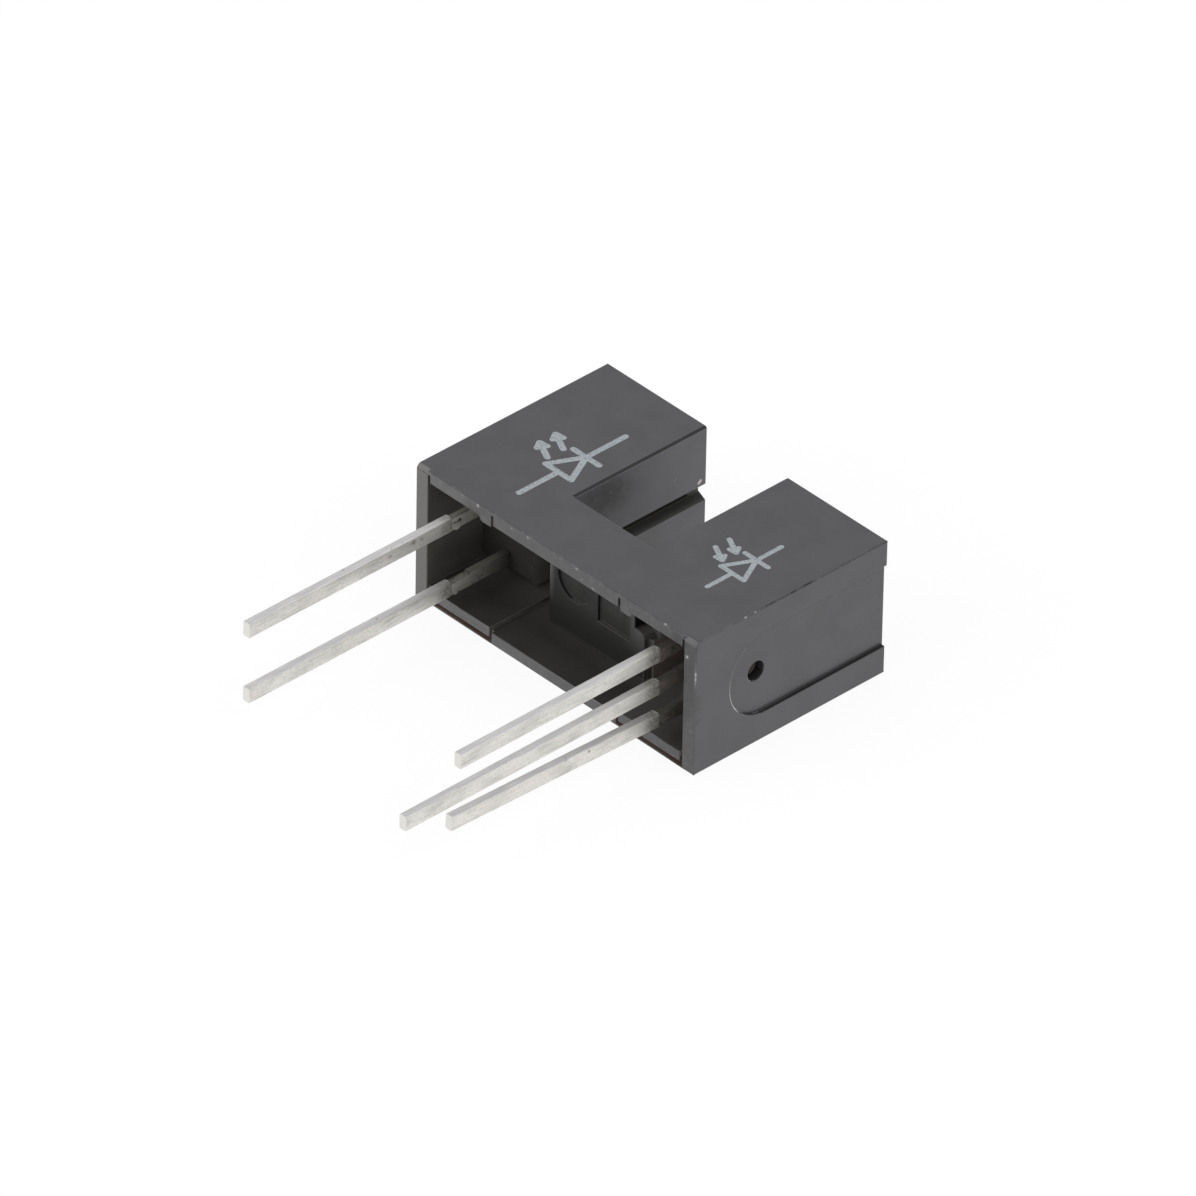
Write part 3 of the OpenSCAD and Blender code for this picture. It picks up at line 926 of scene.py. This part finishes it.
class ShapeTree(Graph):
    """A Geometry Nodes tree that makes pieces from named inputs."""

    def __init__(self, name: str, *inputs: tuple[str, str]) -> None:
        """Makes the tree with its inputs, each a name and a kind of socket, and its output."""
        super().__init__(bpy.data.node_groups.new(name, "GeometryNodeTree"))
        face = self.tree.interface
        self.inputs = {
            key: face.new_socket(key, in_out="INPUT", socket_type="NodeSocket" + kind).identifier
            for key, kind in inputs
        }
        face.new_socket("Geometry", in_out="OUTPUT", socket_type="NodeSocketGeometry")
        self.source = self.node("NodeGroupInput").outputs
        self.output = self.node("NodeGroupOutput")

    def feed(self, *rows: tuple[str, bpy.types.Node, str]) -> None:
        """Links the tree's inputs, each row an input, a node and the node's socket."""
        for key, node, socket in rows:
            self.wire(self.source[key], node.inputs[socket])

    def run(self, name: str, values: dict[str, object], base: bpy.types.Mesh | None = None) -> Piece:
        """Makes a piece and keeps it as a plain mesh.

        Args:
            name: name of the piece.
            values: values of the tree's inputs, by name.
            base: mesh that it starts from, if it takes one.

        Returns:
            The object, linked, with no modifier left.
        """
        piece = bpy.data.objects.new(name, base or bpy.data.meshes.new(name + "_seed"))
        bpy.context.scene.collection.objects.link(piece)
        modifier = piece.modifiers.new("shape", "NODES")
        modifier.node_group = self.tree
        for key, value in values.items():
            modifier[self.inputs[key]] = value
        evaluated = piece.evaluated_get(bpy.context.evaluated_depsgraph_get())
        mesh = bpy.data.meshes.new_from_object(evaluated)
        mesh.name = name
        piece.modifiers.remove(modifier)
        piece.data = mesh
        return piece


class LegTree(ShapeTree):
    """A solder-coated leg: a rounded strip swept from its root to its tip."""

    corner_steps: ClassVar[int] = 3
    root_scale: ClassVar[float] = 0.88
    ripples_per_m: ClassVar[float] = 900.0

    def __init__(self, material: Material) -> None:
        """Builds the tree."""
        vectors = [(key, "Vector") for key in ("Root", "Tip")]
        floats = [(key, "Float") for key in ("Width", "Thickness", "Corner", "Waviness", "Shoulder")]
        super().__init__("solder_coated_leg", *vectors, *floats, ("Steps", "Int"), ("Seed", "Float"))
        line = self.node("GeometryNodeCurvePrimitiveLine")
        steps = self.node("GeometryNodeResampleCurve")
        upright = self.node("GeometryNodeSetCurveNormal", mode="Z_UP")
        profile = self.node("GeometryNodeCurvePrimitiveQuadrilateral")
        fillet = self.node("GeometryNodeFilletCurve", {"Count": self.corner_steps}, mode="POLY")
        along = self.node("GeometryNodeSplineParameter")
        scales = {"To Min": self.root_scale, "To Max": 1.0}
        swell = self.node("ShaderNodeMapRange", scales, interpolation_type="SMOOTHSTEP")
        sweep = self.node("GeometryNodeCurveToMesh", {"Fill Caps": True})
        waves = {"Scale": self.ripples_per_m, "Detail": 2.0}
        ripple = self.node("ShaderNodeTexNoise", waves, noise_dimensions="4D")
        centred = self.node("ShaderNodeVectorMath", operation="SUBTRACT")
        centred.inputs[1].default_value = (0.5, 0.5, 0.5)
        offset = self.node("ShaderNodeVectorMath", operation="SCALE")
        move = self.node("GeometryNodeSetPosition")
        smooth = self.node("GeometryNodeSetShadeSmooth")
        real = self.node("GeometryNodeRealizeInstances")
        finish = self.node("GeometryNodeSetMaterial", {"Material": material})
        self.chain(line, steps, upright, sweep, move, smooth, real, finish, self.output)
        self.chain(profile, fillet)
        self.chain(centred, offset)
        self.wire(fillet.outputs[0], sweep.inputs["Profile Curve"])
        self.wire(along.outputs["Length"], swell.inputs["Value"])
        self.wire(swell.outputs["Result"], sweep.inputs["Scale"])
        self.wire(ripple.outputs["Color"], centred.inputs[0])
        self.wire(offset.outputs[0], move.inputs["Offset"])
        self.feed(
            ("Root", line, "Start"),
            ("Tip", line, "End"),
            ("Steps", steps, "Count"),
            ("Thickness", profile, "Width"),
            ("Width", profile, "Height"),
            ("Corner", fillet, "Radius"),
            ("Shoulder", swell, "From Max"),
            ("Seed", ripple, "W"),
            ("Waviness", offset, "Scale"),
        )


def middle_of(places: list[Vector]) -> Vector:
    """Returns the middle of the box around some places."""
    return Vector([(min(p[i] for p in places) + max(p[i] for p in places)) / 2 for i in range(3)])


@dataclass
class Lead:
    """One lead: the stamped strip inside the housing and the tinned leg outside it."""

    node: str
    seed: float
    tin_end_mm: float = -0.2
    coat_mm: float = 0.025
    overlap_mm: float = 0.03
    width_mm: float = 0.55
    thickness_mm: float = 0.30
    corner_mm: float = 0.04
    waviness_mm: float = 0.01
    shoulder_mm: float = 0.06
    step_mm: float = 0.04
    tip_reach_mm: float = 0.1
    root_reach_mm: float = 0.02

    def ends(self) -> tuple[Vector, Vector]:
        """Returns the middle of the leg's root and of its tip, in metres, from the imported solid."""
        low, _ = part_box(self.node)
        places = [v.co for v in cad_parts[self.node].data.vertices]
        coat_y = (self.tin_end_mm + self.coat_mm) * MM
        tip = middle_of([p for p in places if p.y < low.y + self.tip_reach_mm * MM])
        root = middle_of([p for p in places if abs(p.y - coat_y) < self.root_reach_mm * MM])
        return root + (root - tip).normalized() * (self.overlap_mm * MM), tip

    def strip(self, material: Material) -> Piece:
        """Builds the stamped strip behind the solder coat.

        Args:
            material: its finish.

        Returns:
            The strip, which stands for the lead's solid.
        """
        solid = merged_copy(self.node)
        cut = Vector((0.0, (self.tin_end_mm + 2 * self.coat_mm) * MM, 0.0))
        geometry = [*solid.verts, *solid.edges, *solid.faces]
        made = bmesh.ops.bisect_plane(
            solid, geom=geometry, plane_co=cut, plane_no=(0.0, -1.0, 0.0), clear_outer=True
        )
        rim = [e for e in made["geom_cut"] if isinstance(e, bmesh.types.BMEdge)]
        bmesh.ops.contextual_create(solid, geom=rim)
        piece = mesh_object(self.node + "_strip", solid, [material])
        return link_piece(piece, Slot.LEAD, self.node)

    def leg(self, tree: LegTree) -> Piece:
        """Builds the tinned leg.

        Args:
            tree: the leg's node tree.

        Returns:
            The leg, which stands for the outer part of the lead's solid.
        """
        root, tip = self.ends()
        values = {
            "Root": root,
            "Tip": tip,
            "Width": self.width_mm * MM,
            "Thickness": self.thickness_mm * MM,
            "Corner": self.corner_mm * MM,
            "Waviness": self.waviness_mm * MM,
            "Shoulder": self.shoulder_mm * MM,
            "Steps": max(2, round((tip - root).length / (self.step_mm * MM))),
            "Seed": self.seed,
        }
        piece = tree.run(self.node + "_leg", values)
        return link_piece(piece, Slot.LEAD, self.node)


@dataclass
class Package:
    """One moulded package: its resin body, leads, chip and bond wires."""

    mold: str
    resin: CastResin
    chip: str
    wires: list[str]
    leads: list[Lead]

    def build(
        self, strip: Material, tree: LegTree, chip: Material, wire: Material
    ) -> None:
        """Builds the leads and dresses the other solids.

        Args:
            strip: finish of the stamped strips.
            tree: node tree of the tinned legs.
            chip: finish of the chip.
            wire: finish of the bond wires.
        """
        dress_node(self.mold, self.resin.build())
        dress_node(self.chip, chip)
        for name in self.wires:
            dress_node(name, wire)
        for lead in self.leads:
            lead.strip(strip)
            lead.leg(tree)


class PrintTree(ShapeTree):
    """A printed mark: flat ribbons with round ends along a mesh's loose edges."""

    disc_sides: ClassVar[int] = 24

    def __init__(self, material: Material) -> None:
        """Builds the tree."""
        floats = [(key, "Float") for key in ("Width", "Height", "Radius")]
        super().__init__("printed_strokes", ("Geometry", "Geometry"), *floats)
        curve = self.node("GeometryNodeMeshToCurve")
        upright = self.node("GeometryNodeSetCurveNormal", mode="Z_UP")
        profile = self.node("GeometryNodeCurvePrimitiveQuadrilateral")
        ribbon = self.node("GeometryNodeCurveToMesh", {"Fill Caps": True})
        disc = self.node("GeometryNodeMeshCylinder", {"Vertices": self.disc_sides})
        ends = self.node("GeometryNodeInstanceOnPoints")
        both = self.node("GeometryNodeJoinGeometry")
        real = self.node("GeometryNodeRealizeInstances")
        joined = {"Self Intersection": True}
        fuse = self.node("GeometryNodeMeshBoolean", joined, operation="UNION", solver="EXACT")
        finish = self.node("GeometryNodeSetMaterial", {"Material": material})
        self.chain(curve, upright, ribbon, both, real)
        self.chain(fuse, finish, self.output)
        self.wire(profile.outputs[0], ribbon.inputs["Profile Curve"])
        self.wire(disc.outputs["Mesh"], ends.inputs["Instance"])
        self.wire(ends.outputs[0], both.inputs[0])
        self.wire(real.outputs[0], fuse.inputs["Mesh 2"])
        self.feed(
            ("Geometry", curve, "Mesh"),
            ("Geometry", ends, "Points"),
            ("Width", profile, "Width"),
            ("Height", profile, "Height"),
            ("Height", disc, "Depth"),
            ("Radius", disc, "Radius"),
        )


@dataclass
class PrintedMark:
    """A diode symbol printed on one arm, pointing to the arm's tip, with two arrows of light beside it."""

    arm: Arm
    place_mm: Span
    size_mm: float
    tail_mm: float
    stroke_mm: float = 0.18
    film_mm: float = 0.006
    arrow: float = 0.72
    arrow_shifts: Span = (-0.55, 0.6)
    arrow_gap: float = 1.35
    arrow_way: Span = (0.5, 1.0)
    head: float = 0.27
    head_deg: float = 32.0

    def strokes(self) -> list[tuple[Vector, Vector]]:
        """Returns the strokes' ends in mm, first along the arm, then across it."""
        half = self.size_mm / 2
        low, high, tip = Vector((-half, -half)), Vector((-half, half)), Vector((half, 0.0))
        lines = [(low, high), (high, tip), (tip, low), (Vector((half, -half)), Vector((half, half)))]
        lines.append((Vector((-self.tail_mm, 0.0)), Vector((-half, 0.0))))
        lines.append((tip, Vector((self.tail_mm, 0.0))))
        ray = Vector(self.arrow_way).normalized()
        for shift in self.arrow_shifts:
            near = Vector((half * shift, half * self.arrow_gap))
            far = near + ray * (self.size_mm * self.arrow)
            head, back = (far, -ray) if self.arm is Arm.EMITTER else (near, ray)
            lines.append((near, far))
            for turn in (-self.head_deg, self.head_deg):
                barb = back.copy()
                barb.rotate(Matrix.Rotation(math.radians(turn), 2))
                lines.append((head, head + barb * (self.size_mm * self.head)))
        return lines

    def build(self, tree: PrintTree) -> Piece:
        """Prints the mark on the arm's upper face.

        Args:
            tree: node tree of the strokes.

        Returns:
            The print.
        """
        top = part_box("housing")[1].z
        solid = bmesh.new()
        for ends in self.strokes():
            places = [((self.place_mm[0] - v) * MM, (self.place_mm[1] + u) * MM, top) for u, v in ends]
            solid.edges.new([solid.verts.new(p) for p in places])
        mesh = bpy.data.meshes.new("strokes")
        solid.to_mesh(mesh)
        solid.free()
        values = {
            "Width": self.stroke_mm * MM,
            "Height": self.film_mm * MM,
            "Radius": self.stroke_mm / 2 * MM,
        }
        piece = tree.run(self.arm.name.lower() + "_print", values, mesh)
        return link_piece(piece, None)


@dataclass
class Studio:
    """Floor, light and camera."""

    floor_size: float = 2.0
    floor_gap_mm: float = 0.002
    floor_glow: float = 0.9
    floor_white: Colour = (0.94, 0.94, 0.94)
    sky: Colour = (0.78, 0.78, 0.795)
    sky_light: float = 0.75
    key_place: Point = (0.4, 0.1, 0.42)
    key_watts: float = 1.2
    fill_place: Point = (-0.18, -0.55, 0.26)
    fill_watts: float = 2.2
    lamp_size: float = 0.5
    target_mm: Point = (0.08, 1.816, -0.013)
    azimuth_deg: float = 46.496
    elevation_deg: float = 36.062
    roll_deg: float = 1.074
    distance_mm: float = 563.25
    lens_mm: float = 535.95
    clip: Span = (0.01, 10.0)

    def split_rays(self, graph: Graph, plain: bpy.types.Node, seen: bpy.types.Node, output: str) -> None:
        """Ends a node tree in one shader for the rays that show the background and one for the rest.

        Args:
            graph: the node tree.
            plain: shader for the other rays.
            seen: shader for camera, glossy and transmission rays.
            output: Blender's name of the output node.
        """
        path = graph.node("ShaderNodeLightPath").outputs
        share = path["Is Camera Ray"]
        for name in ("Is Glossy Ray", "Is Transmission Ray"):
            either = graph.node("ShaderNodeMath", operation="MAXIMUM")
            graph.wire(share, either.inputs[0])
            graph.wire(path[name], either.inputs[1])
            share = either.outputs[0]
        chosen = graph.node("ShaderNodeMixShader")
        graph.wire(share, chosen.inputs["Fac"])
        graph.wire(plain.outputs[0], chosen.inputs[1])
        graph.wire(seen.outputs[0], chosen.inputs[2])
        graph.wire(chosen.outputs[0], graph.node(output).inputs["Surface"])

    def floor(self) -> None:
        """Builds the pale floor, which shows white and keeps a soft shadow."""
        solid = bmesh.new()
        bmesh.ops.create_grid(solid, x_segments=2, y_segments=2, size=self.floor_size / 2)
        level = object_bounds()[0].z - self.floor_gap_mm * MM
        bmesh.ops.translate(solid, verts=solid.verts, vec=(0.0, 0.0, level))
        material = bpy.data.materials.new("pale_floor")
        material.use_nodes = True
        graph = Graph(material.node_tree)
        paint = graph.node("ShaderNodeBsdfDiffuse", {"Color": (*self.floor_white, 1.0)})
        glow = graph.node("ShaderNodeEmission", {"Strength": 1.0})
        white = graph.node("ShaderNodeMixShader", {"Fac": self.floor_glow})
        graph.wire(paint.outputs[0], white.inputs[1])
        graph.wire(glow.outputs[0], white.inputs[2])
        self.split_rays(graph, paint, white, "ShaderNodeOutputMaterial")
        floor = mesh_object("floor", solid, [material])
        bpy.context.scene.collection.objects.link(floor)
        floor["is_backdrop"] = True

    def world(self) -> None:
        """Builds the white surroundings."""
        world = bpy.data.worlds.new("white_room")
        world.use_nodes = True
        graph = Graph(world.node_tree)
        seen = graph.node("ShaderNodeBackground", {"Color": (*self.sky, 1.0), "Strength": 1.0})
        light = graph.node("ShaderNodeBackground", {"Color": (1.0,) * 4, "Strength": self.sky_light})
        self.split_rays(graph, light, seen, "ShaderNodeOutputWorld")
        bpy.context.scene.world = world

    def lamp(self, name: str, place: Point, watts: float) -> None:
        """Builds a soft lamp that faces the part.

        Args:
            name: name of the lamp.
            place: its place in metres.
            watts: its power.
        """
        data = bpy.data.lights.new(name, "AREA")
        data.shape = "SQUARE"
        data.size = self.lamp_size
        data.energy = watts
        lamp = bpy.data.objects.new(name, data)
        lamp.location = place
        lamp.rotation_euler = (-Vector(place)).to_track_quat("-Z", "Y").to_euler()
        bpy.context.scene.collection.objects.link(lamp)

    def camera(self) -> None:
        """Builds the camera at the photograph's viewing angle."""
        turn, rise = math.radians(self.azimuth_deg), math.radians(self.elevation_deg)
        back = Vector((math.sin(turn) * math.cos(rise), -math.cos(turn) * math.cos(rise), math.sin(rise)))
        data = bpy.data.cameras.new("photo_camera")
        data.lens = self.lens_mm
        data.clip_start, data.clip_end = self.clip
        camera = bpy.data.objects.new("photo_camera", data)
        place = Vector(self.target_mm) * MM + back * (self.distance_mm * MM)
        look = (-back).to_track_quat("-Z", "Y").to_matrix().to_4x4()
        camera.matrix_world = (
            Matrix.Translation(place) @ look @ Matrix.Rotation(math.radians(self.roll_deg), 4, "Z")
        )
        bpy.context.scene.collection.objects.link(camera)
        bpy.context.scene.camera = camera

    def build(self) -> None:
        """Builds the whole stage."""
        bpy.context.scene.view_settings.view_transform = "Standard"
        self.floor()
        self.world()
        self.lamp("key_softbox", self.key_place, self.key_watts)
        self.lamp("fill_softbox", self.fill_place, self.fill_watts)
        self.camera()


def main() -> None:
    """Builds every sub-assembly in order and reports each piece."""
    logging.basicConfig(level=logging.INFO, format="%(name)s: %(message)s")
    Housing().build()
    bare = TinnedMetal(
        "bare_strip",
        bright=(0.54, 0.522, 0.485),
        dull=(0.3, 0.288, 0.263),
        metallic=0.35,
        dent_from=0.6,
        dent=(0.05, 0.047, 0.04),
        # painted shade on upper faces and on faces that face the tip
        tarnish=(0.1, 0.094, 0.084),
        butt=(0.03, 0.028, 0.025),
        # darker deeper into the housing: painted shade
        ramps=(
            Ramp("Y", (0.1, 1.7), (0.21, 0.2, 0.183)),
            Ramp("Y", (1.4, 2.0), (0.15, 0.143, 0.131)),
            Ramp("Y", (1.9, 2.4), (0.06, 0.057, 0.052)),
        ),
    ).build()
    # the detector's strips, darkened and darker still deeper in: painted shade
    stained = TinnedMetal(
        "stained_strip",
        bright=(0.17, 0.158, 0.142),
        dull=(0.08, 0.074, 0.066),
        metallic=0.2,
        dent_from=0.6,
        dent=(0.03, 0.027, 0.023),
        tarnish=(0.085, 0.079, 0.07),
        butt=(0.03, 0.027, 0.023),
        ramps=(Ramp("Y", (-0.2, 2.6), (0.085, 0.075, 0.066)),),
    ).build()
    tin = TinnedMetal(
        "satin_tin",
        # darker towards the housing: painted shade
        ramps=(Ramp("Y", (-1.6, 0.3), (0.55, 0.536, 0.505)),),
        spots=(
            Spot((-4.6, -1.83, 1.38), 0.12, (0.16, 0.135, 0.1), 0.1),
            Spot((-4.6, -1.47, 1.32), 0.09, (0.22, 0.19, 0.15), 0.1),
            Spot((-4.6, -2.84, 1.30), 0.1, (0.3, 0.27, 0.23), 0.1),
            Spot((-4.65, -0.3, -1.27), 0.5, (0.3, 0.288, 0.265), 0.1),
            Spot((-4.65, -0.35, 1.27), 0.4, (0.36, 0.346, 0.318), 0.1),
            *(Spot((4.85, -0.2, z), 0.5, (0.26, 0.25, 0.228), 0.1) for z in (1.27, 0.0, -1.27)),
            # white spots at the top edges of the coat's end: painted highlights
            *(Spot((-4.78, -0.15, z), 0.13, (0.98, 0.97, 0.95)) for z in (-1.0, 1.545)),
            *(Spot((4.78, 0.0, z), 0.13, (0.95, 0.94, 0.92)) for z in (1.545, 0.275, -0.99)),
        ),
    )
    legs = LegTree(tin.build())
    chip = PlainMetal("polished_chip", (0.2, 0.22, 0.26), (0.27, 0.3, 0.36), metallic=0.3).build()
    wire = PlainMetal("gold_wire", (0.83, 0.62, 0.2), (0.9, 0.7, 0.27)).build()
    packages = [
        Package(
            "emitter_mold",
            CastResin(
                "cast_emitter_resin",
                dark=(0.02, 0.019, 0.0172),
                light=(0.026, 0.0248, 0.0224),
                # lighter flank on the side facing +X: painted light
                flank=(0.15, 0.142, 0.128),
            ),
            "emitter_chip",
            ["emitter_wire"],
            [Lead("emitter_anode_lead", seed=1.0), Lead("emitter_cathode_lead", seed=2.0)],
        ),
        Package(
            "detector_mold",
            CastResin(
                "cast_detector_resin",
                dark=(0.05, 0.042, 0.036),
                light=(0.072, 0.06, 0.051),
                flank=(0.06, 0.05, 0.043),
            ),
            "detector_chip",
            ["supply_wire", "output_wire", "ground_wire"],
            [
                Lead("detector_supply_lead", seed=3.0, tin_end_mm=-0.05),
                Lead("detector_ground_lead", seed=4.0, tin_end_mm=-0.05),
                Lead("detector_output_lead", seed=5.0, tin_end_mm=-0.05),
            ],
        ),
    ]
    for package, strip in zip(packages, (bare, stained)):
        package.build(strip, legs, chip, wire)
    prints = PrintTree(PrintInk().build())
    for mark in (
        PrintedMark(Arm.EMITTER, (-3.15, 3.65), size_mm=1.2, tail_mm=2.3, stroke_mm=0.22),
        PrintedMark(Arm.DETECTOR, (4.5, 3.95), size_mm=1.05, tail_mm=1.6),
    ):
        mark.build(prints)
    Studio().build()


if __name__ == "__main__":
    main()
